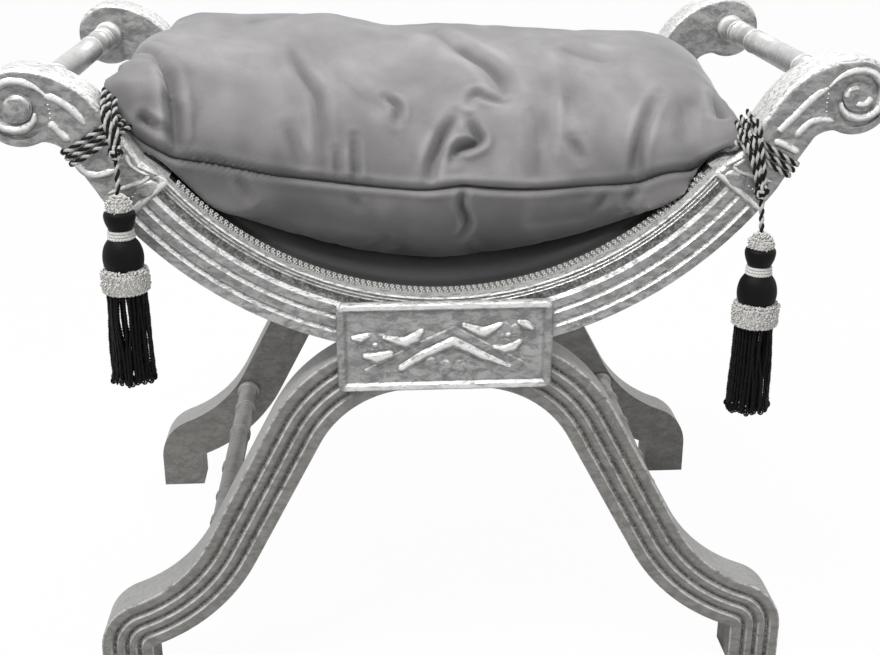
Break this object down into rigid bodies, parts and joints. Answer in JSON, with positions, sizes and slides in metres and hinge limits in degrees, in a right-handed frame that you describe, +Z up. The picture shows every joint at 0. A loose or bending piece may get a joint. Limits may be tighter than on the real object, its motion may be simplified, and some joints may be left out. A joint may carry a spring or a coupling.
{
  "type": "x-frame stool",
  "caption": "Carved silver-leafed X-frame stool with a curved upholstered seat, turned rails and a loose velvet cushion tied by tasselled cords",
  "frame": {"origin": "Centre of the footprint on the floor, under the middle of the crossing", "axes": "+Z up; the front, with the tassels, faces -Y; +X to the right seen from the front"},
  "size_m": [0.766, 0.5065, 0.604],
  "materials": {
    "silver_leaf": "silver leaf over carved wood, crinkled and lightly rubbed",
    "aged_silver": "dull aged silver leaf, dark in the grooves",
    "bare_wood": "unfinished hardwood",
    "screw_steel": "zinc-plated",
    "webbing": "woven jute",
    "foam": "open-cell foam",
    "grey_velvet": "short-pile velvet",
    "black_cloth": "thin woven cloth",
    "gimp": "woven braid, silver and black",
    "twisted_cord": "two-ply, black and silver",
    "tassel_thread": "black silk thread, satin sheen",
    "tassel_trim": "looped pale silver yarn"
  },
  "bodies": {
    "stool": {"back_centre_block": "silver_leaf", "back_frame_dowels": "bare_wood", "back_gimp_braid": "gimp", "back_left_arm": "silver_leaf", "back_left_leg": "aged_silver", "back_right_arm": "silver_leaf", "back_right_leg": "aged_silver", "back_seat_bearer": "bare_wood", "bearer_screws": "screw_steel", "centre_rail": "aged_silver", "centre_rail_dowels": "bare_wood", "dust_cover": "black_cloth", "end_rail_dowels": "bare_wood", "front_centre_block": "silver_leaf", "front_frame_dowels": "bare_wood", "front_gimp_braid": "gimp", "front_left_arm": "silver_leaf", "front_left_leg": "aged_silver", "front_right_arm": "silver_leaf", "front_right_leg": "aged_silver", "front_seat_bearer": "bare_wood", "left_hand_rail": "silver_leaf", "left_leg_stretcher": "aged_silver", "left_seat_end_rail": "bare_wood", "left_tie_cord": "twisted_cord", "left_tie_knot": "twisted_cord", "right_hand_rail": "silver_leaf", "right_leg_stretcher": "aged_silver", "right_seat_end_rail": "bare_wood", "right_tie_cord": "twisted_cord", "right_tie_knot": "twisted_cord", "seat_cover": "grey_velvet", "seat_foam": "foam", "seat_webbing": "webbing"},
    "cushion": {"seat_cushion": "grey_velvet"},
    "left_cord": {"left_hanging_cord": "twisted_cord"},
    "left_tassel": {"left_tassel_band": "tassel_trim", "left_tassel_bulb": "tassel_thread", "left_tassel_collar": "tassel_trim", "left_tassel_cup": "tassel_thread", "left_tassel_ruff": "tassel_trim", "left_tassel_skirt": "tassel_thread"},
    "right_cord": {"right_hanging_cord": "twisted_cord"},
    "right_tassel": {"right_tassel_band": "tassel_trim", "right_tassel_bulb": "tassel_thread", "right_tassel_collar": "tassel_trim", "right_tassel_cup": "tassel_thread", "right_tassel_ruff": "tassel_trim", "right_tassel_skirt": "tassel_thread"}
  },
  "joints": [
    {"name": "cushion_tilt", "type": "hinge", "parent": "stool", "child": "cushion", "pos_m": [0, -0.186, 0.562], "axis": [1, 0, 0], "range_deg": [0, 25]},
    {"name": "left_tie_swing", "type": "hinge", "parent": "stool", "child": "left_cord", "pos_m": [-0.2706, -0.2389, 0.529], "axis": [1, 0, 0], "range_deg": [-60, 0]},
    {"name": "left_tassel_sway", "type": "hinge", "parent": "left_cord", "child": "left_tassel", "pos_m": [-0.2706, -0.25, 0.484], "axis": [0, 1, 0], "range_deg": [-30, 30]},
    {"name": "right_tie_swing", "type": "hinge", "parent": "stool", "child": "right_cord", "pos_m": [0.2706, -0.2389, 0.486], "axis": [1, 0, 0], "range_deg": [-60, 0]},
    {"name": "right_tassel_sway", "type": "hinge", "parent": "right_cord", "child": "right_tassel", "pos_m": [0.2706, -0.25, 0.441], "axis": [0, 1, 0], "range_deg": [-30, 30]}
  ]
}
